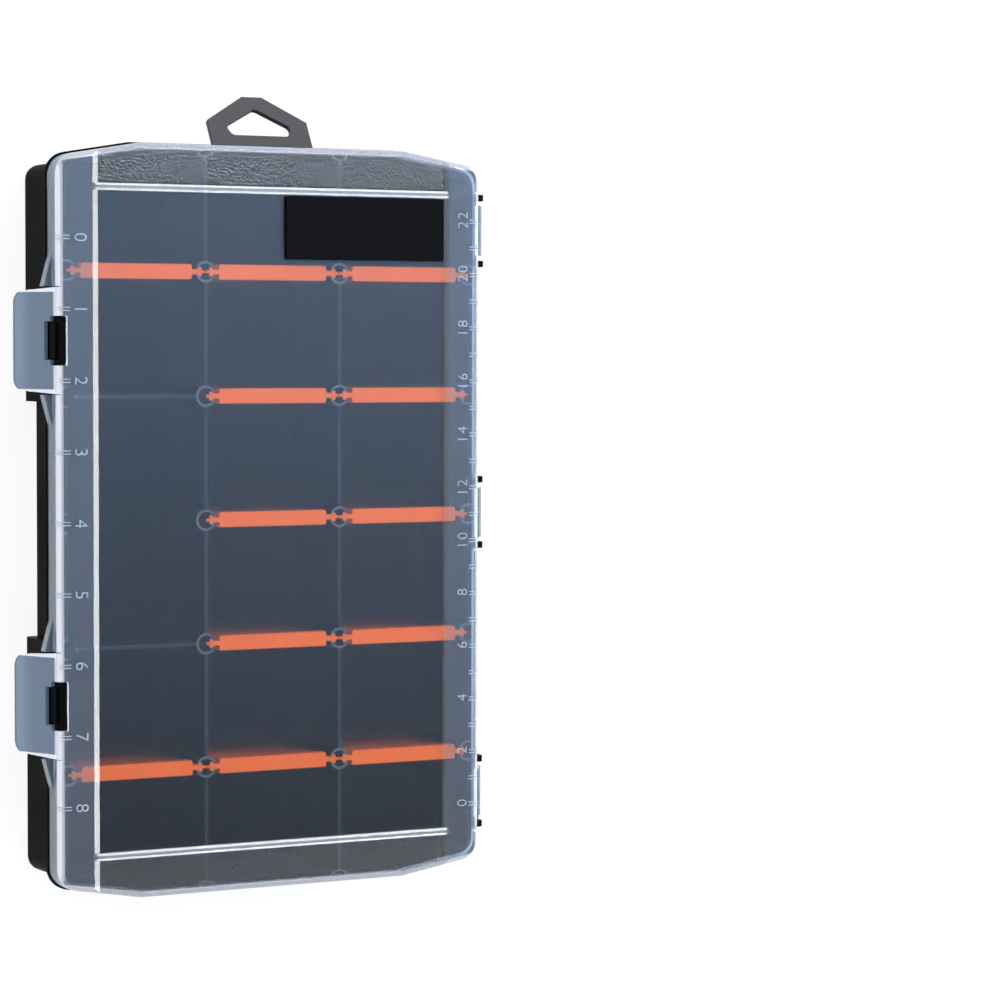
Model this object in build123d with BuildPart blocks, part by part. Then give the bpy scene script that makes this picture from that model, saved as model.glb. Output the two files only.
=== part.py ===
from build123d import *
import math
import os

os.makedirs("parts", exist_ok=True)

# Parts organizer lying flat: +X is the hinge side, -X the latch side,
# +Y the end with the hang tab, +Z the lid. The origin is on the tray's underside.

# Outline of the closed box
lid_width = 170.0
lid_length = 271.6
box_height = 41.0
end_taper_run = 32.0
end_taper_drop = 5.4
corner_radius = 8.0

# Lid
panel_thickness = 1.4
skirt_thickness = 1.6
skirt_depth = 10.2
lid_edge_radius = 2.4
channel_depth = 1.0
channel_inset = 15.6
channel_slope = 2.4
cross_rib_width = 2.6
cross_rib_inset = 16.0
cross_rib_lap = 0.4
cross_rib_rise = 0.6
cross_rib_flank = 0.8

# Tray
body_inset = 2.5
tray_wall = 1.5
tray_floor = 1.6
bottom_edge_radius = 3.0
trough_radius = 3.0
inner_wall = 1.4
flange_thickness = 1.5
flange_overhang = 0.6
lid_gap = 0.3
wall_top_gap = 0.4

# Grip hollow in the latch side, between the two latches
grip_length = 86.0
grip_depth = 5.0

# Rows of slots and the dividers that stand in them
column_count = 3
row_count = 5
row_pitch = 45.0
post_radius = 3.9
slot_clearance = 0.2
slot_floor = 14.0
tip_gap = 0.2
tip_length = 1.3
tip_width = 0.9
head_length = 1.4
head_width = 3.2
neck_length = 2.5
neck_width = 1.7
web_thickness = 1.2
bar_width = 5.4
bar_depth = 4.0
bar_chamfer = 0.5
divider_drop = 0.2
divider_foot_gap = 0.2
foot_chamfer = 3.0

# Latch flaps on the lid and their catches on the tray
latch_end_inset = 70.8
flap_width = 38.0
flap_end_width = 35.0
flap_length = 22.0
flap_thickness = 1.7
flap_flare = 23.0
flap_corner_radius = 4.5
bead_radius = 1.1
bead_drop = 1.8
bead_inset = 0.8
bead_clearance = 0.06
flap_side_gap = 0.3
window_width = 17.6
window_depth = 3.3
window_reach = 2.7
notch_width = 13.7
notch_depth = 6.3
cheek_thickness = 1.6
cheek_top = 2.0
cheek_bottom = 15.0
cheek_reach = 2.2
gusset_length = 11.0
gusset_reach = 3.0
gusset_height = 4.0
catch_clearance = 0.35
catch_foot_rise = 1.0
catch_sink = 0.5
catch_wide_reach = 1.4
catch_nose_reach = 2.4
catch_nose_drop = 3.4

# Hinge: three stations, each a pair of ears with a pin and the lid's hook
station_end_inset = 28.8
station_count = 3
ear_spacing = 25.0
ear_thickness = 2.4
ear_corner_radius = 1.2
ear_rise = 3.6
ear_shoulder_rise = 3.5
ear_shoulder_margin = 3.4
ear_tip = 6.5
ear_tip_margin = 5.6
ear_heel = 9.5
ear_notch_side = 0.8
ear_notch_top = 1.2
pin_diameter = 3.4
pin_drop = 4.0
pin_reach = 6.4
pin_seat = 1.4
pin_seat_clearance = 0.03
hook_side_gap = 1.9
hook_wall = 2.1
hook_clearance = 0.08
hook_opening_start = 15.0
hook_opening_end = 95.0
hook_stem_rise = 6.0
hook_lug_length = 3.0
hook_lug_reach = 0.9
hook_lug_height = 2.0

# Hang tab
tab_width = 40.0
tab_shoulder = 11.0
tab_height = 21.5
tab_apex_width = 8.0
tab_thickness = 2.0
tab_lean = 30.0
tab_outer_radius = 5.0
tab_side_rim = 6.5
tab_root_rim = 4.6
tab_shoulder_rim = 2.6
tab_apex_rim = 5.1
tab_hole_radius = 2.2

# Label plate on the lid
label_width = 65.0
label_length = 23.2
label_thickness = 1.2
label_corner_radius = 1.0
label_side_gap = 0.1
label_rib_gap = 0.4

# Heights worked out from those sizes
face_top = box_height - cross_rib_rise
channel_floor = face_top - channel_depth
panel_bottom = channel_floor - panel_thickness
band_thickness = face_top - panel_bottom
skirt_bottom = face_top - skirt_depth
flange_top = skirt_bottom - lid_gap
flange_bottom = flange_top - flange_thickness
wall_top = panel_bottom - wall_top_gap
divider_top = wall_top - divider_drop
divider_foot = tray_floor + divider_foot_gap
catch_foot = skirt_bottom + catch_foot_rise
catch_nose_top = face_top - catch_nose_drop
ear_top = skirt_bottom + ear_rise
pin_height = skirt_bottom - pin_drop
ear_shoulder = pin_height + ear_shoulder_rise

# Places worked out from those sizes
body_half = lid_width / 2 - body_inset
inner_half = body_half - tray_wall
column_pitch = 2 * inner_half / column_count
columns = [(index - (column_count - 1) / 2) * column_pitch for index in range(column_count)]
wall_lines = [(index - column_count / 2) * column_pitch for index in range(column_count + 1)]
rows = [((row_count - 1) / 2 - index) * row_pitch for index in range(row_count)]
station_reach = lid_length / 2 - station_end_inset
stations = [station_reach * (1 - 2 * index / (station_count - 1)) for index in range(station_count)]
latch_offset = lid_length / 2 - latch_end_inset
latches = {"upper": latch_offset, "lower": -latch_offset}
pin_x = body_half + pin_reach
ear_inner = (ear_spacing - ear_thickness) / 2
ear_shoulder_x = pin_x + ear_shoulder_margin
ear_tip_x = pin_x + ear_tip_margin
hook_half = ear_inner - hook_side_gap
bead_x = -(lid_width / 2 - bead_inset)
bead_z = face_top - bead_drop
bar_inset = tip_gap + tip_length + head_length + neck_length

# The left column has moulded cross walls in every second row and no slot in the middle row
left_slots = [rows[0], rows[-1]]
left_walls = [rows[1], rows[-2]]


def box_outline(inset):
    """Face of the box seen from above: straight sides, and ends that fall away to the corners."""
    half_width = lid_width / 2 - inset
    half_length = lid_length / 2 - inset
    shoulder = half_length - end_taper_drop
    taper = half_width - end_taper_run
    with BuildSketch() as outline:
        with BuildLine():
            Polyline(
                (half_width, -shoulder),
                (half_width, shoulder),
                (taper, half_length),
                (-taper, half_length),
                (-half_width, shoulder),
                (-half_width, -shoulder),
                (-taper, -half_length),
                (taper, -half_length),
                close=True,
            )
        make_face()
        corners = outline.vertices().filter_by(lambda corner: abs(corner.X) > taper + end_taper_run / 2)
        fillet(corners, radius=corner_radius - inset)
    return outline.sketch


def divider_end(clearance):
    """Plan of a divider's right end, measured back from the slot's centre line at X = 0."""
    head_start = -tip_gap - tip_length
    neck_start = head_start - head_length
    with BuildSketch() as end:
        with Locations((-tip_gap + clearance, 0)):
            Rectangle(
                bar_inset + clearance,
                tip_width + 2 * clearance,
                align=(Align.MAX, Align.CENTER),
            )
        with Locations((head_start + clearance, 0)):
            Rectangle(
                head_length + 2 * clearance,
                head_width + 2 * clearance,
                align=(Align.MAX, Align.CENTER),
            )
        with Locations((neck_start, 0)):
            Rectangle(
                neck_length + clearance,
                neck_width + 2 * clearance,
                align=(Align.MAX, Align.CENTER),
            )
    return end.sketch


lid_face = box_outline(0)
skirt_inner_face = box_outline(skirt_thickness)
body_face = box_outline(body_inset)
inner_face = box_outline(body_inset + tray_wall)
flange_face = box_outline(-flange_overhang)
divider_end_face = divider_end(0)
slot_end_face = divider_end(slot_clearance)


# Hollow of the tray: three troughs with rounded bottoms, cut to the tray's inner outline
with BuildPart() as troughs:
    with BuildSketch(Plane.XZ):
        for index in range(column_count):
            left = wall_lines[index] + (inner_wall / 2 if index > 0 else 0)
            right = wall_lines[index + 1] - (inner_wall / 2 if index < column_count - 1 else 0)
            with Locations(((left + right) / 2, tray_floor)):
                RectangleRounded(
                    right - left,
                    2 * (box_height - tray_floor),
                    trough_radius,
                    align=(Align.CENTER, Align.MIN),
                )
    extrude(amount=lid_length / 2, both=True)
    with BuildSketch(Plane.XY):
        add(inner_face)
    extrude(amount=box_height, mode=Mode.INTERSECT)


# Tray with its flange, inner walls, slotted posts, catches and hinge ears
with BuildPart() as base_tray:
    with BuildSketch(Plane.XY):
        add(body_face)
    extrude(amount=wall_top)
    bottom_edges = base_tray.faces().sort_by(Axis.Z)[0].edges()
    fillet(bottom_edges, radius=bottom_edge_radius)
    with BuildSketch(Plane.XY.offset(flange_bottom)):
        add(flange_face)
    extrude(amount=flange_thickness)
    add(troughs.part, mode=Mode.SUBTRACT)

    # Moulded cross walls of the left column
    with BuildSketch(Plane.XY.offset(tray_floor / 2)):
        for wall_y in left_walls:
            with Locations((columns[0], wall_y)):
                Rectangle(column_pitch, inner_wall)
    extrude(amount=divider_top - tray_floor / 2)

    # Grip hollow, with the tray's wall carried round it
    grip_shell = grip_depth + tray_wall
    with BuildSketch(Plane.XY.offset(tray_floor / 2)):
        with Locations((-body_half + grip_shell / 2 + tray_wall / 4, 0)):
            Rectangle(grip_shell - tray_wall / 2, grip_length + 2 * tray_wall)
    extrude(amount=flange_bottom + tray_wall - tray_floor / 2)
    with BuildSketch(Plane.XY):
        with Locations((-body_half, 0)):
            Rectangle(2 * grip_depth, grip_length)
    extrude(amount=flange_bottom, mode=Mode.SUBTRACT)

    # Posts on the inner walls, and half posts on the two side walls
    with BuildSketch(Plane.XY.offset(tray_floor / 2)):
        for row_y in rows:
            for wall_x in wall_lines[1:-1]:
                with Locations((wall_x, row_y)):
                    Circle(post_radius)
            with Locations((wall_lines[-1], row_y)):
                Circle(post_radius)
        for row_y in left_slots:
            with Locations((wall_lines[0], row_y)):
                Circle(post_radius)
        add(inner_face, mode=Mode.INTERSECT)
    extrude(amount=wall_top - tray_floor / 2)

    # Slots for the dividers' ends, a pair for each divider
    with BuildSketch(Plane.XY.offset(slot_floor)):
        for row_y in rows:
            for index, column_x in enumerate(columns):
                if index > 0 or row_y in left_slots:
                    with Locations((column_x + column_pitch / 2, row_y)):
                        add(slot_end_face)
                    with Locations(Location((column_x - column_pitch / 2, row_y), 180)):
                        add(slot_end_face)
    extrude(amount=box_height, mode=Mode.SUBTRACT)

    # Catches that stand in the windows of the latch flaps
    catch_back = bead_x + window_reach - catch_clearance
    for latch_y in latches.values():
        with BuildSketch(Plane.XY.offset(catch_foot)):
            with Locations((catch_back, latch_y)):
                Rectangle(
                    catch_back + body_half + catch_wide_reach,
                    window_width - 2 * catch_clearance,
                    align=(Align.MAX, Align.CENTER),
                )
        extrude(amount=face_top - catch_sink - catch_foot)
        with BuildSketch(Plane.XY.offset(catch_foot)):
            with Locations((catch_back, latch_y)):
                Rectangle(
                    catch_back + body_half + catch_nose_reach,
                    notch_width - 2 * catch_clearance,
                    align=(Align.MAX, Align.CENTER),
                )
        extrude(amount=catch_nose_top - catch_foot)

    # Hinge ears, and the flange cut away between each pair for the lid's hook
    for station_y in stations:
        with BuildSketch(Plane.XY.offset(flange_bottom)):
            with Locations((body_half, station_y)):
                Rectangle(pin_reach, 2 * ear_inner, align=(Align.MIN, Align.CENTER))
        extrude(amount=flange_thickness, mode=Mode.SUBTRACT)
        for side in (-1, 1):
            ear_middle = station_y + side * ear_spacing / 2
            with BuildSketch(Plane.XZ.offset(-ear_middle)) as ear:
                with BuildLine():
                    Polyline(
                        (body_half - tray_wall / 2, ear_heel),
                        (ear_tip_x, ear_tip),
                        (ear_shoulder_x, ear_shoulder),
                        (body_half, ear_top),
                        (body_half - tray_wall / 2, ear_top),
                        close=True,
                    )
                make_face()
                outer = ear.vertices().filter_by(lambda corner: corner.X > pin_x)
                fillet(outer, radius=ear_corner_radius)
            extrude(amount=ear_thickness / 2, both=True)
        with BuildSketch(Plane.XZ.offset(-station_y)):
            with Locations((pin_x, pin_height)):
                Circle(pin_diameter / 2 + pin_seat_clearance)
        extrude(amount=ear_inner + pin_seat, both=True, mode=Mode.SUBTRACT)
base_tray.part.label = "base_tray"
export_step(base_tray.part, "parts/base_tray.step")


# Hinge pins, each seated at its two ends in a pair of ears
for number, station_y in enumerate(stations, start=1):
    with BuildPart() as hinge_pin:
        with BuildSketch(Plane.XZ.offset(-station_y)):
            with Locations((pin_x, pin_height)):
                Circle(pin_diameter / 2)
        extrude(amount=ear_inner + pin_seat, both=True)
    hinge_pin.part.label = f"hinge_pin_{number}"
    export_step(hinge_pin.part, f"parts/hinge_pin_{number}.step")


# Hang tab: a leaning plate with a delta hole, cut square where it meets the flange
tab_root = lid_length / 2 + flange_overhang
tab_lean_angle = math.radians(tab_lean)
tab_hole_half = tab_width / 2 - tab_side_rim
tab_hole_shoulder = tab_shoulder - tab_shoulder_rim
tab_hole_apex = tab_height - tab_apex_rim
tab_up = (0, math.sin(tab_lean_angle), math.cos(tab_lean_angle))
tab_plane = Plane(origin=(0, tab_root, flange_top), x_dir=(1, 0, 0), z_dir=tab_up)
with BuildPart() as hang_tab:
    with BuildSketch(tab_plane) as tab:
        with BuildLine():
            Polyline(
                (-tab_width / 2, -tab_thickness),
                (tab_width / 2, -tab_thickness),
                (tab_width / 2, tab_shoulder),
                (tab_apex_width / 2, tab_height),
                (-tab_apex_width / 2, tab_height),
                (-tab_width / 2, tab_shoulder),
                close=True,
            )
        make_face()
        fillet(tab.vertices().filter_by(lambda corner: corner.Y > tab_root), radius=tab_outer_radius)
        with BuildSketch(mode=Mode.SUBTRACT) as hole:
            with BuildLine():
                Polyline(
                    (-tab_hole_half + tab_hole_radius, tab_root_rim),
                    (tab_hole_half - tab_hole_radius, tab_root_rim),
                    (tab_hole_half, tab_hole_shoulder),
                    (0, tab_hole_apex),
                    (-tab_hole_half, tab_hole_shoulder),
                    close=True,
                )
            make_face()
            fillet(hole.vertices(), radius=tab_hole_radius)
    extrude(amount=-tab_thickness)
    split(bisect_by=Plane.XZ.offset(-tab_root), keep=Keep.BOTTOM)
hang_tab.part.label = "hang_tab"
export_step(hang_tab.part, "parts/hang_tab.step")


# Divider: a thin web with a thick top bar and a keyed end at each side
web_half = column_pitch / 2 - bar_inset
end_foot = slot_floor + divider_foot_gap
for row_index, row_y in enumerate(rows):
    for column_index, column_x in enumerate(columns):
        if column_index == 0 and row_y not in left_slots:
            continue
        name = f"divider_row{row_index + 1}_column{column_index + 1}"
        with BuildPart() as divider:
            with BuildSketch(Plane.XZ.offset(-row_y)) as web:
                with Locations((column_x, divider_foot)):
                    Rectangle(2 * web_half, divider_top - divider_foot, align=(Align.CENTER, Align.MIN))
                chamfer(web.vertices().group_by(Axis.Y)[0], length=foot_chamfer)
            extrude(amount=web_thickness / 2, both=True)
            with BuildSketch(Plane.XY.offset(divider_top - bar_depth)) as bar:
                with Locations((column_x, row_y)):
                    Rectangle(2 * web_half, bar_width)
                chamfer(bar.vertices(), length=bar_chamfer)
            extrude(amount=bar_depth)
            with BuildSketch(Plane.XY.offset(end_foot)):
                with Locations((column_x + column_pitch / 2, row_y)):
                    add(divider_end_face)
                with Locations(Location((column_x - column_pitch / 2, row_y), 180)):
                    add(divider_end_face)
            extrude(amount=divider_top - end_foot)
        divider.part.label = name
        export_step(divider.part, f"parts/{name}.step")


# Cross beads of the lid: low ribs with sloping flanks, one towards each end
channel_half = lid_width / 2 - channel_inset
channel_mouth = channel_half + channel_slope
cross_rib_y = lid_length / 2 - cross_rib_inset
with BuildPart() as cross_ribs:
    with BuildSketch(Plane.XY.offset(channel_floor)):
        with Locations((0, cross_rib_y)):
            SlotOverall(2 * (channel_mouth + cross_rib_lap), cross_rib_width)
    extrude(amount=box_height - channel_floor)
    rib_face = cross_ribs.faces().sort_by(Axis.Z)[-1]
    chamfer(rib_face.edges(), length=cross_rib_flank, length2=cross_rib_rise, reference=rib_face)
    mirror(about=Plane.XZ)


# Lid: panel and skirt, with its channel, beads, hooks, notches and the cut-outs for the flaps
with BuildPart() as lid:
    with BuildSketch(Plane.XY.offset(skirt_bottom)):
        add(lid_face)
    extrude(amount=skirt_depth)
    fillet(lid.faces().sort_by(Axis.Z)[-1].edges(), radius=lid_edge_radius)
    with BuildSketch(Plane.XY.offset(skirt_bottom)):
        add(skirt_inner_face)
    extrude(amount=skirt_depth - band_thickness, mode=Mode.SUBTRACT)

    # Shallow channel with sloping sides along the middle, and the two beads across it
    with BuildSketch(Plane.XZ):
        with BuildLine():
            Polyline(
                (-channel_half, channel_floor),
                (channel_half, channel_floor),
                (channel_mouth, face_top),
                (-channel_mouth, face_top),
                close=True,
            )
        make_face()
    extrude(amount=lid_length / 2, both=True, mode=Mode.SUBTRACT)
    add(cross_ribs.part)

    # Wedge gussets on the skirt, beyond each end of a flap
    for latch_y in latches.values():
        for side in (-1, 1):
            wedge_start = latch_y + side * (flap_width / 2 + flap_side_gap)
            with BuildSketch(Plane.XY.offset(skirt_bottom)):
                with BuildLine():
                    Polyline(
                        (-lid_width / 2 + skirt_thickness, wedge_start),
                        (-lid_width / 2 - gusset_reach, wedge_start),
                        (-lid_width / 2, wedge_start + side * gusset_length),
                        (-lid_width / 2 + skirt_thickness, wedge_start + side * gusset_length),
                        close=True,
                    )
                make_face()
            extrude(amount=gusset_height)

    # Room for each flap: the skirt is open there, and a groove takes the flap's bead
    for latch_y in latches.values():
        opening = flap_width + 2 * flap_side_gap
        with BuildSketch(Plane.XY.offset(skirt_bottom)):
            with Locations((-lid_width / 2 + skirt_thickness, latch_y)):
                Rectangle(2 * (skirt_thickness + gusset_reach), opening, align=(Align.MAX, Align.CENTER))
        extrude(amount=skirt_depth - band_thickness, mode=Mode.SUBTRACT)
        with BuildSketch(Plane.XY.offset(panel_bottom)):
            with Locations((bead_x, latch_y)):
                Rectangle(2 * bead_inset, opening, align=(Align.MAX, Align.CENTER))
        extrude(amount=band_thickness, mode=Mode.SUBTRACT)
        with BuildSketch(Plane.XZ.offset(-latch_y)):
            with Locations((bead_x, bead_z)):
                Circle(bead_radius + bead_clearance)
        extrude(amount=opening / 2, both=True, mode=Mode.SUBTRACT)
        with BuildSketch(Plane.XY.offset(panel_bottom)):
            with Locations((bead_x + window_reach, latch_y)):
                Rectangle(lid_width / 2, window_width, align=(Align.MAX, Align.CENTER))
        extrude(amount=box_height, mode=Mode.SUBTRACT)

    # Hooks that hang from the skirt round the hinge pins, and notches that clear the ears
    hook_inner = pin_diameter / 2 + hook_clearance
    hook_outer = hook_inner + hook_wall
    opening_middle = (hook_opening_start + hook_opening_end) / 2
    opening_half = math.radians(hook_opening_end - hook_opening_start) / 2
    opening_reach = 2 * hook_outer
    stem_left = lid_width / 2 - skirt_thickness
    for station_y in stations:
        with BuildSketch(Plane.XZ.offset(-station_y)):
            with Locations((pin_x, pin_height)):
                Circle(hook_outer)
            with Locations((stem_left, pin_height)):
                Rectangle(
                    pin_x - hook_inner - stem_left,
                    skirt_bottom + hook_stem_rise - pin_height,
                    align=(Align.MIN, Align.MIN),
                )
            with Locations((pin_x, pin_height)):
                Circle(hook_inner, mode=Mode.SUBTRACT)
            with Locations(Location((pin_x, pin_height), opening_middle)):
                with BuildLine():
                    Polyline(
                        (0, 0),
                        (opening_reach, opening_reach * math.tan(opening_half)),
                        (opening_reach, -opening_reach * math.tan(opening_half)),
                        close=True,
                    )
                make_face(mode=Mode.SUBTRACT)
        extrude(amount=hook_half, both=True)
        with BuildSketch(Plane.XZ.offset(-station_y)):
            with Locations((pin_x - hook_inner, pin_height + hook_inner)):
                Rectangle(hook_lug_reach, hook_lug_height, align=(Align.MIN, Align.MIN))
        extrude(amount=hook_lug_length / 2, both=True)
        for side in (-1, 1):
            with BuildSketch(Plane.XY.offset(skirt_bottom)):
                with Locations((stem_left, station_y + side * ear_spacing / 2)):
                    Rectangle(
                        2 * skirt_thickness,
                        ear_thickness + 2 * ear_notch_side,
                        align=(Align.MIN, Align.CENTER),
                    )
            extrude(amount=ear_top + ear_notch_top - skirt_bottom, mode=Mode.SUBTRACT)
lid.part.label = "lid"
export_step(lid.part, "parts/lid.step")


# Latch flaps: a flared plate on a round bead, with a stepped window and a cheek at each end
flare = math.radians(flap_flare)
flap_out = (-math.cos(flare), 0, math.sin(flare))
flap_down = (-math.sin(flare), 0, -math.cos(flare))
cheek_line = -lid_width / 2 - flange_overhang - flap_side_gap
for name, latch_y in latches.items():
    flap_plane = Plane(origin=(bead_x, latch_y, bead_z), x_dir=(0, 1, 0), z_dir=flap_out)
    with BuildPart() as latch:
        with BuildSketch(flap_plane) as plate:
            with BuildLine():
                Polyline(
                    (-flap_width / 2, 0),
                    (flap_width / 2, 0),
                    (flap_end_width / 2, flap_length),
                    (-flap_end_width / 2, flap_length),
                    close=True,
                )
            make_face()
            fillet(plate.vertices().sort_by(Axis.Y)[-2:], radius=flap_corner_radius)
        extrude(amount=flap_thickness / 2, both=True)
        with BuildSketch(Plane.XZ.offset(-latch_y)):
            with Locations((bead_x, bead_z)):
                Circle(bead_radius)
        extrude(amount=flap_width / 2, both=True)
        with BuildSketch(flap_plane):
            Rectangle(window_width, 2 * window_depth)
            Rectangle(notch_width, 2 * notch_depth)
        extrude(amount=2 * flap_thickness, both=True, mode=Mode.SUBTRACT)
        for side in (-1, 1):
            cheek_middle = latch_y + side * (flap_width / 2 - cheek_thickness)
            with BuildSketch(Plane.XZ.offset(-cheek_middle)):
                with BuildLine():
                    Polyline(
                        (bead_x + cheek_top * flap_down[0], bead_z + cheek_top * flap_down[2]),
                        (cheek_line, skirt_bottom),
                        (cheek_line, skirt_bottom - cheek_reach),
                        (bead_x + cheek_bottom * flap_down[0], bead_z + cheek_bottom * flap_down[2]),
                        close=True,
                    )
                make_face()
            extrude(amount=cheek_thickness / 2, both=True)
    latch.part.label = f"latch_{name}"
    export_step(latch.part, f"parts/latch_{name}.step")


# Label plate, in the corner of the channel by the hinge and the hang tab
label_x = channel_half - label_side_gap - label_width / 2
label_y = cross_rib_y - cross_rib_width / 2 - label_rib_gap - label_length / 2
with BuildPart() as label_plate:
    with BuildSketch(Plane.XY.offset(channel_floor)):
        with Locations((label_x, label_y)):
            RectangleRounded(label_width, label_length, label_corner_radius)
    extrude(amount=label_thickness)
label_plate.part.label = "label_plate"
export_step(label_plate.part, "parts/label_plate.step")
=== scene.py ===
# %% [markdown]
# # A small parts organizer box
# The box is a black tray full of compartments under a clear lid, with orange dividers between them.
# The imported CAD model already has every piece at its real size, so it is loaded as a fixed frame.
# This script gives each piece its finish, adds the raised ruler marks on the lid, and sets up the studio.

import bpy
import numpy as np
from mathutils import Matrix, Vector


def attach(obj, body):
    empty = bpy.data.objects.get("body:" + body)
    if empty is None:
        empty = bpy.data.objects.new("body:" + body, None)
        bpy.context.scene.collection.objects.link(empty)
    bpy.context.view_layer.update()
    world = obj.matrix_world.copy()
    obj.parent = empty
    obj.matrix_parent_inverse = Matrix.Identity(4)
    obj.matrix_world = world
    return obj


MM = 0.001  # sizes below are in millimetres, unless a comment says metres

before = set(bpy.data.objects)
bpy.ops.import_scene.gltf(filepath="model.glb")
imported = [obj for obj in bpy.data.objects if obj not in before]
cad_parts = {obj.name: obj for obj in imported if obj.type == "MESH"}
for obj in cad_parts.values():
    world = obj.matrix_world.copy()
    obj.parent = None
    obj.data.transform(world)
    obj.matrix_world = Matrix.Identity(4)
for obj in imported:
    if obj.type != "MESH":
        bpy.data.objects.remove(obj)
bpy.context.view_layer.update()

# %% [markdown]
# ## Camera
# The picture is taken from above with a long lens, a little from the latch side.
# A camera can be aimed with constraints, but here its place is worked out from the lid's corners,
# so it is set as a matrix. `turn` brings the box's axes into the camera's, and the camera's own matrix is the way back.

# %% Camera
IMAGE_SIDE = 1000  # pixels
FOCAL_PIXELS = 3438.5
SENSOR = 36.0
LID_FACE = 40.4  # height of the lid's side bands over the floor
YAW, PITCH, ROLL = 0.507428, 0.0464175, -0.0023935  # radians
OFFSET = (-81.96, -6.878, -1259.318)  # from the camera to the middle of the lid face, in camera axes

turn = Matrix.Rotation(ROLL, 3, "Z") @ Matrix.Rotation(PITCH, 3, "X") @ Matrix.Rotation(YAW, 3, "Y")
eye = (Vector((0.0, 0.0, LID_FACE)) - turn.transposed() @ Vector(OFFSET)) * MM

camera_data = bpy.data.cameras.new("photo_camera")
camera_data.sensor_width = SENSOR
camera_data.lens = FOCAL_PIXELS / IMAGE_SIDE * SENSOR
camera = bpy.data.objects.new("photo_camera", camera_data)
camera.matrix_world = Matrix.Translation(eye) @ turn.transposed().to_4x4()
bpy.context.scene.collection.objects.link(camera)
bpy.context.scene.camera = camera
bpy.context.scene.view_settings.view_transform = "Standard"
print("Camera at", [round(c, 3) for c in eye], "with a lens of", round(camera_data.lens, 1), "mm")

# %% [markdown]
# ## One helper for nodes, one for colours
# Materials here are small node trees. One function adds a node, sets its properties and fills its inputs:
# a plain value is set on the socket, and an output of another node is linked to it.
# Colours are written as sRGB hex, as in a paint program, and turned to the linear values that the renderer works with.


# %% Helpers for nodes and colours
def add_node(tree, kind, sockets=None, **settings):
    """Adds a node of this kind to the tree.

    sockets maps an input's name or number to a value or to another node's output.
    """
    made = tree.nodes.new(kind)
    for name, value in settings.items():
        setattr(made, name, value)
    for key, value in (sockets or {}).items():
        if isinstance(value, bpy.types.NodeSocket):
            tree.links.new(value, made.inputs[key])
        else:
            made.inputs[key].default_value = value
    return made


def linear(hex_colour):
    """sRGB hex to linear RGBA: c / 12.92 under 0.04045, and ((c + 0.055) / 1.055) ** 2.4 above."""
    srgb = np.array([int(hex_colour[i:i + 2], 16) for i in (1, 3, 5)]) / 255
    colour = np.where(srgb <= 0.04045, srgb / 12.92, ((srgb + 0.055) / 1.055) ** 2.4)
    return (*colour.tolist(), 1.0)


def new_material(name):
    """An empty material, and its output node."""
    material = bpy.data.materials.new(name)
    material.use_nodes = True
    material.node_tree.nodes.clear()
    return material, add_node(material.node_tree, "ShaderNodeOutputMaterial")


WHITE = "#FFFFFF"
ORANGE = "#FF701C"
print("Orange in linear light:", [round(c, 3) for c in linear(ORANGE)])

# %% [markdown]
# ## Studio light
# A clear lid is seen mostly by what it mirrors. The world is white all round, which whitens the milky edges,
# with a dark round patch overhead that keeps the lid's flat top deep and clear. On one side of the patch hangs
# a bluish card, and its mirror image is the soft sheen on the lid.
# A picture of a studio could be wrapped round the scene instead, but three ramps over the direction do the same.

# %% World
SURROUND = "#F7FAFF"
CEILING = "#1C2026"
CARD = "#A2CAFF"
CARD_GAIN = 1.28  # the card is brighter than its colour by this
PATCH_AXIS = (0.16, -0.08, 0.984)  # the way to the middle of the dark ceiling patch
PATCH_EDGE = (0.850, 0.915)  # cosines of the angles where the patch starts and is full
CARD_X, CARD_Y = (0.15, 0.36), (-0.20, 0.06)  # the card fades in towards the hinge side and the far end
WORLD_STRENGTH = 1.60

world = bpy.data.worlds.new("studio")
world.use_nodes = True
world.node_tree.nodes.clear()
tree = world.node_tree
direction = add_node(tree, "ShaderNodeTexCoord").outputs["Generated"]
heading = add_node(tree, "ShaderNodeSeparateXYZ", {0: direction}).outputs
nearness = add_node(tree, "ShaderNodeVectorMath", {0: direction, 1: PATCH_AXIS}, operation="DOT_PRODUCT")
ramps = ((nearness.outputs["Value"], PATCH_EDGE), (heading["X"], CARD_X), (heading["Y"], CARD_Y))
patch, card_x, card_y = [
    add_node(tree, "ShaderNodeMapRange", {"Value": value, "From Min": low, "From Max": high},
             interpolation_type="SMOOTHSTEP").outputs[0] for value, (low, high) in ramps]
card_part = add_node(tree, "ShaderNodeMath", {0: card_x, 1: card_y}, operation="MULTIPLY")
card_light = [CARD_GAIN * c for c in linear(CARD)]
ceiling = add_node(tree, "ShaderNodeMix", {0: card_part.outputs[0], 6: linear(CEILING), 7: card_light},
                   data_type="RGBA")
sky = add_node(tree, "ShaderNodeMix", {0: patch, 6: linear(SURROUND), 7: ceiling.outputs[2]}, data_type="RGBA")
backdrop = add_node(tree, "ShaderNodeBackground", {"Color": sky.outputs[2], "Strength": WORLD_STRENGTH})
add_node(tree, "ShaderNodeOutputWorld", {0: backdrop.outputs[0]})
bpy.context.scene.world = world
print("World:", SURROUND, "all round,", CEILING, "overhead, with a card of", CARD)

# %% [markdown]
# Long narrow lamps draw the bright lines along the lid: each one is mirrored by a slope or a bead that faces it.
# A larger soft lamp lifts the far end. An area lamp shines along its own -Z, so that axis is turned to the box.

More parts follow.
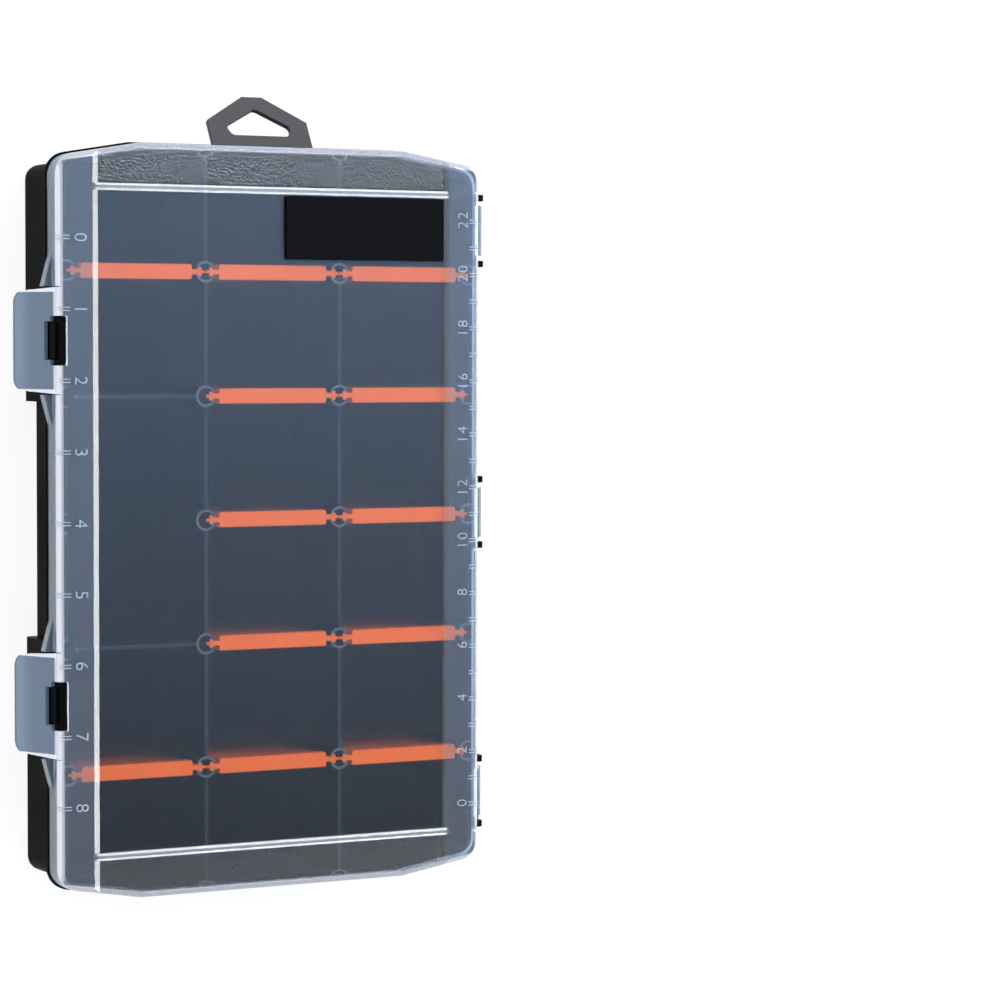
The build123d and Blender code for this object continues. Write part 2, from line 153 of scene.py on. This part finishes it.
# %% Lamps
LAMPS = {  # name: (place, length, height, watts, colour), in metres
    "strip_hinge_side": ((0.90, -0.05, 0.440), 0.55, 0.09, 1.9, WHITE),
    "strip_latch_side": ((-0.90, 0.0, 0.60), 0.70, 0.05, 0.6, WHITE),
    "strip_far_end_low": ((0.43, 1.00, 0.251), 0.40, 0.10, 1.2, WHITE),
    "strip_far_end_high": ((0.58, 1.00, 0.573), 0.40, 0.10, 1.2, WHITE),
    "strip_near_end_low": ((0.41, -1.00, 0.148), 0.40, 0.10, 1.2, WHITE),
    "strip_near_end_high": ((0.56, -1.00, 0.425), 0.40, 0.10, 1.2, WHITE),
    "softbox_far_end": ((0.43, 0.52, 0.90), 0.50, 0.20, 8.0, "#D2E6FF"),
}
for name, (place, length, tall, watts, colour) in LAMPS.items():
    light = bpy.data.lights.new(name, "AREA")
    light.shape = "RECTANGLE"
    light.size, light.size_y, light.energy = length, tall, watts
    light.color = linear(colour)[:3]
    lamp = bpy.data.objects.new(name, light)
    lamp.location = place
    lamp.rotation_euler = (-Vector(place)).to_track_quat("-Z", "Y").to_euler()
    bpy.context.scene.collection.objects.link(lamp)
print("Lamps:", ", ".join(LAMPS))

# %% [markdown]
# ## Floor
# The box lies on a white sheet. The sheet is a plain matt white for the light that bounces off it.
# For the eye, and for what mirrors and clear plastic show of it, most of its white is its own,
# so that it stays an even white while the box's shadow still falls on it.

# %% Floor
FLOOR_HALF = 6.0  # metres
FLOOR_Z = -0.0004  # metres, just under the tray's foot
PAPER = "#E7E7E7"
SHADED_PAPER = "#7C7C7C"  # the part of the sheet's white that a shadow can take away
OWN_WHITE = 0.82

# Uncoated paper: even and without any gloss, so only the shadow shows on it
white_paper, output = new_material("white_paper_sheet")
tree = white_paper.node_tree
ray = add_node(tree, "ShaderNodeLightPath").outputs
seen = add_node(tree, "ShaderNodeMath", {0: ray["Is Camera Ray"], 1: ray["Is Glossy Ray"]}, operation="MAXIMUM")
seen = add_node(tree, "ShaderNodeMath", {0: seen.outputs[0], 1: ray["Is Transmission Ray"]}, operation="MAXIMUM")
paper = add_node(tree, "ShaderNodeBsdfDiffuse", {"Color": linear(PAPER)})
shaded = add_node(tree, "ShaderNodeBsdfDiffuse", {"Color": linear(SHADED_PAPER)})
own = add_node(tree, "ShaderNodeEmission", {"Color": linear(WHITE), "Strength": OWN_WHITE})
white = add_node(tree, "ShaderNodeAddShader", {0: shaded.outputs[0], 1: own.outputs[0]})
mixed = add_node(tree, "ShaderNodeMixShader", {0: seen.outputs[0], 1: paper.outputs[0], 2: white.outputs[0]})
tree.links.new(mixed.outputs[0], output.inputs["Surface"])

corner_signs = np.array([(-1, -1, 0), (1, -1, 0), (1, 1, 0), (-1, 1, 0)])
floor_mesh = bpy.data.meshes.new("floor")
floor_mesh.from_pydata((corner_signs * FLOOR_HALF + (0, 0, FLOOR_Z)).tolist(), [], [(0, 1, 2, 3)])
floor_mesh.materials.append(white_paper)
floor = bpy.data.objects.new("floor", floor_mesh)
bpy.context.scene.collection.objects.link(floor)
print("Floor of", 2 * FLOOR_HALF, "m a side")

# %% [markdown]
# ## Black, grey and orange polypropylene
# The tray, the hang tab and the dividers are moulded from coloured polypropylene. A mould that is spark-eroded leaves
# a fine even grain, so the surface is matt with a soft sheen, and handling makes the sheen uneven
# over a few centimetres. A noise texture at the size of the grain drives a bump, and a wide noise moves the roughness.

# %% Coloured polypropylene
PLASTIC_IOR = 1.49
NOISE_SPAN = (0.3, 0.7)  # nearly all of a noise texture's values lie between these
HANDLED = 30.0  # the sheen changes over this distance
HANDLED_DETAIL = 3.0
SHEEN_SPREAD = 0.06  # and the roughness changes by this, up and down


def grained_polypropylene(name, colour, roughness, gloss, grain=0.45, depth=0.012):
    """Moulded polypropylene: grain is the width of one grain of the mould and depth its height, in millimetres.

    Returns the material, its shader node and its Object coordinates, so that more can be built on it.
    """
    material, output = new_material(name)
    tree = material.node_tree
    place = add_node(tree, "ShaderNodeTexCoord").outputs["Object"]
    cloud = add_node(tree, "ShaderNodeTexNoise", {
        "Vector": place, "Scale": 1 / (HANDLED * MM), "Detail": HANDLED_DETAIL})
    sheen = add_node(tree, "ShaderNodeMapRange", {
        "Value": cloud.outputs["Fac"], "From Min": NOISE_SPAN[0], "From Max": NOISE_SPAN[1],
        "To Min": roughness - SHEEN_SPREAD, "To Max": roughness + SHEEN_SPREAD})
    spark = add_node(tree, "ShaderNodeTexNoise", {"Vector": place, "Scale": 1 / (grain * MM)})
    bump = add_node(tree, "ShaderNodeBump", {"Height": spark.outputs["Fac"], "Distance": depth * MM})
    body = add_node(tree, "ShaderNodeBsdfPrincipled", {
        "Base Color": linear(colour), "IOR": PLASTIC_IOR, "Specular IOR Level": gloss,
        "Roughness": sheen.outputs[0], "Normal": bump.outputs[0]})
    tree.links.new(body.outputs[0], output.inputs["Surface"])
    return material, body, place


# Black: so deep and matt that its form shows only where light grazes it
BLACK, BLACK_ROUGHNESS, BLACK_GLOSS = "#060707", 0.50, 0.018
black_polypropylene = grained_polypropylene("black_polypropylene", BLACK, BLACK_ROUGHNESS, BLACK_GLOSS)[0]

# Grey: a warm dark grey with a dull sheen on its flat face
GREY = "#3E3D3C"
grey_polypropylene = grained_polypropylene("grey_polypropylene", GREY, 0.46, gloss=0.12)[0]

# Orange: a full clear colour, satin with a shallower grain, so that it stays bright under the lid
orange_polypropylene = grained_polypropylene(
    "orange_polypropylene", ORANGE, 0.40, gloss=0.12, grain=0.6, depth=0.008)[0]
print("Made", black_polypropylene.name, grey_polypropylene.name, orange_polypropylene.name)

# %% [markdown]
# ### Painted highlights on the tray's edges
# Just under the lid, the tops of the inner walls and the rims of the posts are painted a lighter grey, as a painted
# highlight where their top edges catch the light.
# Walls and posts stand on a regular grid, so a triangle wave over X and Y gives the distance to the nearest wall line
# and the nearest row, and a few comparisons make the mask.

# %% Tray with painted highlights on its edges
# painted highlights: a lighter grey for the tops of the walls, and a paler one for the rims of the posts
WALL_TOP_HIGHLIGHT, POST_RIM_HIGHLIGHT = "#34383E", "#62676F"
HIGHLIGHT_Z = 37.2  # only what lies above this gets the painted highlight
WALL_PITCH, ROW_PITCH = 54.0, 45.0
WALL_HALF = 0.7
POST_RADIUS, POST_RIM = 3.9, 0.45  # the rim is a ring of twice this width

# The same deep black, with thin lighter grey lines and rings painted on as highlights, which draw the compartments
# under the lid
tray_polypropylene_painted_highlights, tray_body, place = grained_polypropylene(
    "black_polypropylene_tray_painted_highlights", BLACK, BLACK_ROUGHNESS, BLACK_GLOSS)
tree = tray_polypropylene_painted_highlights.node_tree
axes = add_node(tree, "ShaderNodeSeparateXYZ", {0: place}).outputs
half_wall, half_row = WALL_PITCH / 2 * MM, ROW_PITCH / 2 * MM
shifted = add_node(tree, "ShaderNodeMath", {0: axes["X"], 1: half_wall}, operation="SUBTRACT")
off_wall = add_node(tree, "ShaderNodeMath", {0: shifted.outputs[0], 1: half_wall}, operation="PINGPONG").outputs[0]
off_row = add_node(tree, "ShaderNodeMath", {0: axes["Y"], 1: half_row}, operation="PINGPONG").outputs[0]
flat = add_node(tree, "ShaderNodeCombineXYZ", {0: off_wall, 1: off_row})
radius = add_node(tree, "ShaderNodeVectorMath", {0: flat.outputs[0]}, operation="LENGTH").outputs["Value"]
ring = add_node(tree, "ShaderNodeMath", {0: radius, 1: (POST_RADIUS - POST_RIM) * MM, 2: POST_RIM * MM},
                operation="COMPARE")
beyond_post = add_node(tree, "ShaderNodeMath", {0: radius, 1: POST_RADIUS * MM}, operation="GREATER_THAN")
on_wall = add_node(tree, "ShaderNodeMath", {0: off_wall, 1: WALL_HALF * MM}, operation="LESS_THAN")
on_row = add_node(tree, "ShaderNodeMath", {0: off_row, 1: WALL_HALF * MM}, operation="LESS_THAN")
lines = add_node(tree, "ShaderNodeMath", {0: on_wall.outputs[0], 1: on_row.outputs[0]}, operation="MAXIMUM")
lines = add_node(tree, "ShaderNodeMath", {0: lines.outputs[0], 1: beyond_post.outputs[0]}, operation="MULTIPLY")
high = add_node(tree, "ShaderNodeMath", {0: axes["Z"], 1: HIGHLIGHT_Z * MM}, operation="GREATER_THAN")
painted_colour = linear(BLACK)
# the painted highlight goes on the wall lines and the post rims, but only near the top
for mark, colour in ((lines, WALL_TOP_HIGHLIGHT), (ring, POST_RIM_HIGHLIGHT)):
    highlit = add_node(tree, "ShaderNodeMath", {0: mark.outputs[0], 1: high.outputs[0]}, operation="MULTIPLY")
    painted_colour = add_node(tree, "ShaderNodeMix", {0: highlit.outputs[0], 6: painted_colour, 7: linear(colour)},
                    data_type="RGBA").outputs[2]
tree.links.new(painted_colour, tray_body.inputs["Base Color"])
print("Made", tray_polypropylene_painted_highlights.name)

# %% [markdown]
# ## Translucent polypropylene
# The lid is moulded from natural polypropylene: clear enough to see the dividers just under it,
# with a faint blue milkiness. Its top is polished and its underside is finely frosted, so what touches it is sharp
# and what lies deep in the box is blurred. The skirt and the side bands are thicker and look whiter,
# the rounded rims, the cross beads and the flaps' cheeks are the whitest,
# and the strips beyond the cross beads have a leather-like grain.
# Each finish could be a material of its own, but the lid is one mesh. So one shader carries them all,
# and masks made from the object's own coordinates say where each finish holds.

# %% Places of the lid's finishes
CHANNEL_HALF = 69.4  # half the width of the sunk channel's floor
CHANNEL_MOUTH = 71.8  # half its width at the top of its slopes
CHANNEL_FLOOR = 39.4
BEAD_Y, BEAD_HALF = 119.8, 1.35  # the cross beads' distance from the middle, and half their width
END_TAPER = (53, 85, 5.4)  # the ends fall back from the first distance to the second by this
LATCH_Y = 65.0  # a latch lies this far from the middle
CHEEK, CHEEK_HALF = 18.25, 0.95  # the middle of a flap's cheek from the middle of the flap, and half its width
LID_EDGE = 85.0
RIM_REACH = 133.4  # the end rims lie beyond this, once the taper of the ends is added
FROST_Z = 38.7  # surfaces under this height are the frosted inside
SKIRT_Z = 38.0  # the skirt begins below this
FADES = {  # each mask: the measure it follows, where it starts and where it is full
    "inside": ("height", FROST_Z + 0.2, FROST_Z),
    "skirt": ("height", SKIRT_Z, SKIRT_Z - 1.0),
    "channel": ("across", CHANNEL_MOUTH, CHANNEL_HALF),
    "slope_foot": ("across", CHANNEL_HALF, CHANNEL_HALF - 0.2),
    "end_zone": ("along", BEAD_Y + 1.5, BEAD_Y + 2.0),
    "rim": ("reach", RIM_REACH, RIM_REACH + 0.6),
    "border": ("across", LID_EDGE - 2.3, LID_EDGE - 1.6),
    "edge": ("across", LID_EDGE - 1.4, LID_EDGE - 0.6),
    "outside": ("across", LID_EDGE + 0.2, LID_EDGE + 0.6),
    "top": ("height", SKIRT_Z - 1.0, SKIRT_Z),
    "raised": ("height", CHANNEL_FLOOR + 0.1, CHANNEL_FLOOR + 0.3),
}
WINDOWS = {  # each mask: the measure it follows, the middle of the window and half its width
    "bead": ("along", BEAD_Y, BEAD_HALF),
    "cheek": ("off_latch", CHEEK, CHEEK_HALF),
}
ONLY_WHERE = (  # the first mask holds only where the second does
    ("bead", "raised"), ("bead", "channel"), ("end_zone", "slope_foot"), ("cheek", "outside"),
    ("edge", "top"), ("border", "top"), ("rim", "top"))
print("Masks of the lid:", ", ".join([*FADES, *WINDOWS]))

# %% Translucent polypropylene
CLEAR_TINT = "#F8FBFE"  # of the channel's floor
BAND_TINT = "#E2EDFB"  # of the side bands
EDGE_TINT = "#F3F0F4"  # of the rims and the cheeks
MILK = 0.045  # the share of the light that the plastic scatters instead of letting it through
MORE_MILK = {"channel": -0.042, "bead": 0.19, "rim": 0.27, "border": 0.25, "edge": 0.24, "cheek": 0.25}
POLISHED, FROSTED = 0.08, 0.26  # roughness
LEATHER_GRAIN = 0.9  # width of one grain, drawn about twice as coarse as it is so that it shows
LEATHER_DEPTH = 0.20


def clear_polypropylene(name, skirt_tint_and_painted_shade, skirt_milk):
    """Natural polypropylene, clear on top and milky at its edges.

    The skirt's colour is a tint for the lid, and a darker blue-grey for the flaps, where it is painted shade;
    skirt_milk is the milkiness that it has beyond the rest.
    """
    material, output = new_material(name)
    tree = material.node_tree
    place = add_node(tree, "ShaderNodeTexCoord").outputs["Object"]
    axes = add_node(tree, "ShaderNodeSeparateXYZ", {0: place}).outputs
    across = add_node(tree, "ShaderNodeMath", {0: axes["X"]}, operation="ABSOLUTE").outputs[0]
    along = add_node(tree, "ShaderNodeMath", {0: axes["Y"]}, operation="ABSOLUTE").outputs[0]
    start, end, drop = END_TAPER
    taper = add_node(tree, "ShaderNodeMapRange", {
        "Value": across, "From Min": start * MM, "From Max": end * MM, "To Max": drop * MM})
    reach = add_node(tree, "ShaderNodeMath", {0: along, 1: taper.outputs[0]}, operation="ADD").outputs[0]
    off_latch = add_node(tree, "ShaderNodeMath", {0: along, 1: LATCH_Y * MM}, operation="SUBTRACT").outputs[0]
    off_latch = add_node(tree, "ShaderNodeMath", {0: off_latch}, operation="ABSOLUTE").outputs[0]
    measures = {"height": axes["Z"], "across": across, "along": along, "reach": reach, "off_latch": off_latch}

    masks = {}
    for key, (measure, first, last) in FADES.items():
        masks[key] = add_node(tree, "ShaderNodeMapRange", {
            "Value": measures[measure], "From Min": first * MM, "From Max": last * MM},
            interpolation_type="SMOOTHSTEP").outputs[0]
    for key, (measure, middle, half) in WINDOWS.items():
        masks[key] = add_node(tree, "ShaderNodeMath", {
            0: measures[measure], 1: middle * MM, 2: half * MM}, operation="COMPARE").outputs[0]
    for key, other in ONLY_WHERE:
        masks[key] = add_node(tree, "ShaderNodeMath", {0: masks[key], 1: masks[other]}, operation="MULTIPLY").outputs[0]

    milk = MILK
    for key, share in (*MORE_MILK.items(), ("skirt", skirt_milk)):
        milk = add_node(tree, "ShaderNodeMath", {0: masks[key], 1: share, 2: milk}, operation="MULTIPLY_ADD").outputs[0]
    clear = add_node(tree, "ShaderNodeMath", {0: 1.0, 1: milk}, operation="SUBTRACT", use_clamp=True)
    tint = linear(BAND_TINT)
    for key, colour in (("channel", CLEAR_TINT), ("skirt", skirt_tint_and_painted_shade),
                        ("cheek", EDGE_TINT), ("border", EDGE_TINT), ("rim", EDGE_TINT)):
        tint = add_node(tree, "ShaderNodeMix", {0: masks[key], 6: tint, 7: linear(colour)}, data_type="RGBA").outputs[2]
    rough = add_node(tree, "ShaderNodeMath", {0: masks["inside"], 1: masks["end_zone"]}, operation="MAXIMUM")
    frost = add_node(tree, "ShaderNodeMapRange", {"Value": rough.outputs[0], "To Min": POLISHED, "To Max": FROSTED})
    leather = add_node(tree, "ShaderNodeTexVoronoi", {"Vector": place, "Scale": 1 / (LEATHER_GRAIN * MM)})
    grain = add_node(tree, "ShaderNodeMath", {0: leather.outputs["Distance"], 1: masks["end_zone"]},
                     operation="MULTIPLY")
    bump = add_node(tree, "ShaderNodeBump", {"Height": grain.outputs[0], "Distance": LEATHER_DEPTH * MM})
    body = add_node(tree, "ShaderNodeBsdfPrincipled", {
        "Base Color": tint, "IOR": PLASTIC_IOR, "Roughness": frost.outputs[0],
        "Transmission Weight": clear.outputs[0], "Normal": bump.outputs[0]})
    tree.links.new(body.outputs[0], output.inputs["Surface"])
    return material


# The lid: a clear window with white rims, over a skirt that lets a bluish light through
lid_polypropylene = clear_polypropylene("translucent_polypropylene_lid", "#C0D3E6", 0.03)

# The flaps: the same plastic below the lid's edge, cloudy, with white cheeks; their blue-grey, darker than the lid's
# skirt, is painted shade on the side away from the light
flap_polypropylene_painted_shade = clear_polypropylene("translucent_polypropylene_flap_painted_shade", "#8094AB", 0.32)
print("Made", lid_polypropylene.name, flap_polypropylene_painted_shade.name)

# %% [markdown]
# The raised ruler marks are the same plastic, but their fine satin edges scatter the light, so they look milky.

# %% Milky polypropylene of the raised marks
MARK_TINT = "#D3DDE8"
MARK_CLEARNESS = 0.68  # the share of the light that passes through
SATIN_GRAIN = 0.8
SATIN_ROUGHNESS = (0.38, 0.52)

# Satin: pale thin lines that stay readable over the clear bands
milky_polypropylene, output = new_material("milky_polypropylene")
tree = milky_polypropylene.node_tree
place = add_node(tree, "ShaderNodeTexCoord").outputs["Object"]
satin = add_node(tree, "ShaderNodeTexNoise", {"Vector": place, "Scale": 1 / (SATIN_GRAIN * MM)})
haze = add_node(tree, "ShaderNodeMapRange", {
    "Value": satin.outputs["Fac"], "From Min": NOISE_SPAN[0], "From Max": NOISE_SPAN[1],
    "To Min": SATIN_ROUGHNESS[0], "To Max": SATIN_ROUGHNESS[1]})
body = add_node(tree, "ShaderNodeBsdfPrincipled", {
    "Base Color": linear(MARK_TINT), "IOR": PLASTIC_IOR, "Roughness": haze.outputs[0],
    "Transmission Weight": MARK_CLEARNESS})
tree.links.new(body.outputs[0], output.inputs["Surface"])
print("Made", milky_polypropylene.name)

# %% [markdown]
# ## Label
# The label is a thin black plate that lies in the lid's channel. It is smoother than the tray, with the faint
# orange-peel of a printed film, and it is left bare. The same recipe as for the tray serves, with a wider, lower grain.

# %% Label film
# Film: a black as deep as the tray's, with a slightly clearer sheen
LABEL_BLACK = "#08080A"
label_film = grained_polypropylene("black_label_film", LABEL_BLACK, 0.42, gloss=0.03, grain=1.2, depth=0.006)[0]
print("Made", label_film.name)

# %% [markdown]
# ## Dressing the CAD nodes
# Each node keeps its own mesh and only its material is exchanged. The first entry that a node's name starts with
# decides, and the empty one at the end takes what is left: the hinge pins.

# %% Materials of the CAD nodes
FINISHES = (
    ("divider_", orange_polypropylene),
    ("lid", lid_polypropylene),
    ("latch_", flap_polypropylene_painted_shade),
    ("label_", label_film),
    ("hang_tab", grey_polypropylene),
    ("base_tray", tray_polypropylene_painted_highlights),
    ("", black_polypropylene),
)
for name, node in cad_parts.items():
    finish = next(material for start, material in FINISHES if name.startswith(start))
    for material_slot in node.material_slots:
        material_slot.material = finish
print("Dressed", len(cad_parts), "nodes")

# %% [markdown]
# ## Ruler marks
# Both side bands of the lid carry a raised ruler: inches along the latch side and centimetres along the hinge side.
# A mark is a pair of thin ridges that start on the band and bend over the lid's rounded edge on to the skirt.
# A ridge could be a cube with a bend modifier, but as a profile carried along a path it follows the edge exactly:
# the path is a line, a quarter turn and a line, and the profile a low flat-topped hill.

# %% Ruler ticks
EDGE_RADIUS = 2.4  # the lid's rounded edge
BEND_STEPS = 7
TICK_REACH = 4.6  # length on the band, from the lid's edge
TICK_DROP = 3.2  # length down the skirt, below the band's face
TICK_RAMP = 0.3  # length of the slope at either end
TICK_WIDTH = 0.4
TICK_TOP = 0.64  # width of the flat top, as a share of the width
TICK_RISE = 0.22
TICK_SINK = 0.1  # the foot lies this share of the rise under the lid's face
TICK_PAIR = 1.1  # the two ridges of a mark are this far apart


def tick_marks(name, side, stations):
    """Ridges at Y = stations on the side (-1 or +1) of the lid.

    Path: from the band, x = edge - reach, straight to the start of the round, a quarter circle,
    then straight down the skirt.
    Surface: point = path + outward normal * h(v) + Y * y(v), with (y, h) a trapezoid's outline.
    At both ends of the path all of the outline lies at its foot, inside the lid.
    """
    bend = np.linspace(0, np.pi / 2, BEND_STEPS)
    path = np.concatenate([
        [(LID_EDGE - TICK_REACH, LID_FACE), (LID_EDGE - TICK_REACH + TICK_RAMP, LID_FACE)],
        np.stack([LID_EDGE - EDGE_RADIUS + EDGE_RADIUS * np.sin(bend),
                  LID_FACE - EDGE_RADIUS + EDGE_RADIUS * np.cos(bend)], axis=1),
        [(LID_EDGE, LID_FACE - TICK_DROP + TICK_RAMP), (LID_EDGE, LID_FACE - TICK_DROP)]])
    angle = np.concatenate([[0, 0], bend, [np.pi / 2] * 2])
    normal = np.stack([np.sin(angle), np.cos(angle)], axis=1)
    y_of = np.array([-1, -TICK_TOP, TICK_TOP, 1]) * TICK_WIDTH / 2
    h_of = np.array([-TICK_SINK, 1, 1, -TICK_SINK]) * TICK_RISE
    high = np.tile(h_of, (len(path), 1))
    high[[0, -1]] = h_of[0]
    x = side * (path[:, None, 0] + normal[:, None, 0] * high)
    z = path[:, None, 1] + normal[:, None, 1] * high
    ridge = np.stack([x, np.broadcast_to(y_of, x.shape), z], axis=2)
    stations = np.asarray(stations, dtype=float)
    points = ridge[None] + np.stack([0 * stations, stations, 0 * stations], axis=1)[:, None, None, :]

    rows, columns = ridge.shape[:2]
    index = np.arange(rows * columns).reshape(rows, columns)
    top = np.stack([index[:-1, :-1], index[1:, :-1], index[1:, 1:], index[:-1, 1:]], axis=-1).reshape(-1, 4)
    base = np.stack([index[:-1, 0], index[:-1, -1], index[1:, -1], index[1:, 0]], axis=-1)
    faces = np.concatenate([top, base])[:, ::side]
    caps = np.array([index[0], index[-1, ::-1]])[:, ::side]
    first_vertex = (np.arange(len(stations)) * rows * columns)[:, None, None]
    faces = (faces[None] + first_vertex).reshape(-1, 4)
    caps = (caps[None] + first_vertex).reshape(-1, columns)
    mesh = bpy.data.meshes.new(name)
    mesh.from_pydata((points.reshape(-1, 3) * MM).tolist(), [], faces.tolist() + caps.tolist())
    return mesh


def lid_piece(mesh):
    """Puts a mesh on the lid, under its own name, as a piece of the lid's own plastic."""
    mesh.materials.append(milky_polypropylene)
    piece = bpy.data.objects.new(mesh.name, mesh)
    bpy.context.scene.collection.objects.link(piece)
    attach(piece, "lid")


INCH, INCHES = 25.4, 8
CENTIMETRE, CENTIMETRES = 10.0, 22
LATCH_SIDE, HINGE_SIDE = -1, 1
inch_stations = INCHES / 2 * INCH - INCH * np.arange(INCHES + 1)
centimetre_stations = -CENTIMETRES / 2 * CENTIMETRE + CENTIMETRE * np.arange(CENTIMETRES + 1)
pair = np.array([[-0.5], [0.5]]) * TICK_PAIR
lid_piece(tick_marks("inch_ticks", LATCH_SIDE, (inch_stations + pair).ravel()))
lid_piece(tick_marks("centimetre_ticks", HINGE_SIDE, (centimetre_stations + pair).ravel()))
print("Ticks:", len(inch_stations), "inch and", len(centimetre_stations), "centimetre marks")

# %% [markdown]
# ## Ruler numbers
# The plain numbers stand 0.2 mm proud of the bands. Digits could be drawn as curves by hand, but Blender's text object
# has them ready, extrudes them, and with a negative offset thins their strokes.
# So each number is typed, made a mesh, and then its vertices are turned and placed as one array.

# %% Ruler numbers
INCH_NUMBER = (5.0, 76.4, 0.0)  # height, distance from the middle line and shift along it
CENTIMETRE_NUMBER = (4.3, 77.5, 0.5)
TEXT_SIZE = 1.40  # a text object's size for a digit of height 1
SPACING = 1.15  # between the digits of a number, where 1 is the font's own
CURVE_STEPS = 3
NUMBER_RISE = 0.2
NUMBER_SINK = 0.05
NUMBER_THINNING = 0.10  # the strokes lose this much on each side


def number_mesh(words, height):
    """Vertices in millimetres, and faces, of a raised number: its middle is at x = y = 0 and its top at z = 0."""
    text = bpy.data.curves.new("number", "FONT")
    text.body = words
    text.align_x, text.align_y = "CENTER", "CENTER"
    text.size = height * TEXT_SIZE
    text.space_character = SPACING
    text.resolution_u = CURVE_STEPS
    text.extrude = (NUMBER_RISE + NUMBER_SINK) / 2
    text.offset = -NUMBER_THINNING
    holder = bpy.data.objects.new("number", text)
    bpy.context.scene.collection.objects.link(holder)
    solid = bpy.data.meshes.new_from_object(holder.evaluated_get(bpy.context.evaluated_depsgraph_get()))
    points = np.empty(len(solid.vertices) * 3)
    solid.vertices.foreach_get("co", points)
    points = points.reshape(-1, 3)
    faces = [tuple(face.vertices) for face in solid.polygons]
    bpy.data.objects.remove(holder)
    bpy.data.meshes.remove(solid)
    points -= (points.max(axis=0) + points.min(axis=0)) / 2 * (1, 1, 0)
    points[:, 2] -= points[:, 2].max()
    return points, faces


def ruler_numbers(name, side, labels, stations, style):
    """One mesh of all the numbers of a ruler.

    A number's point (u, v) lies at x = side * (middle - v), y = station + shift + side * u.
    """
    height, middle, shift = style
    all_points, all_faces, count = [], [], 0
    for label, station in zip(labels, stations):
        points, faces = number_mesh(label, height)
        placed = np.stack([side * (middle - points[:, 1]), station + shift + side * points[:, 0],
                           LID_FACE + NUMBER_RISE + points[:, 2]], axis=1)
        all_points.append(placed)
        all_faces += [tuple(corner + count for corner in face) for face in faces]
        count += len(points)
    mesh = bpy.data.meshes.new(name)
    mesh.from_pydata((np.concatenate(all_points) * MM).tolist(), [], all_faces)
    return mesh


inch_labels = [str(n) for n in range(INCHES + 1)]
centimetre_labels = [str(n) for n in range(0, CENTIMETRES + 1, 2)]
lid_piece(ruler_numbers("inch_numbers", LATCH_SIDE, inch_labels, inch_stations, INCH_NUMBER))
lid_piece(ruler_numbers(
    "centimetre_numbers", HINGE_SIDE, centimetre_labels, centimetre_stations[::2], CENTIMETRE_NUMBER))
print("Numbers:", len(inch_labels), "along the inches and", len(centimetre_labels), "along the centimetres")
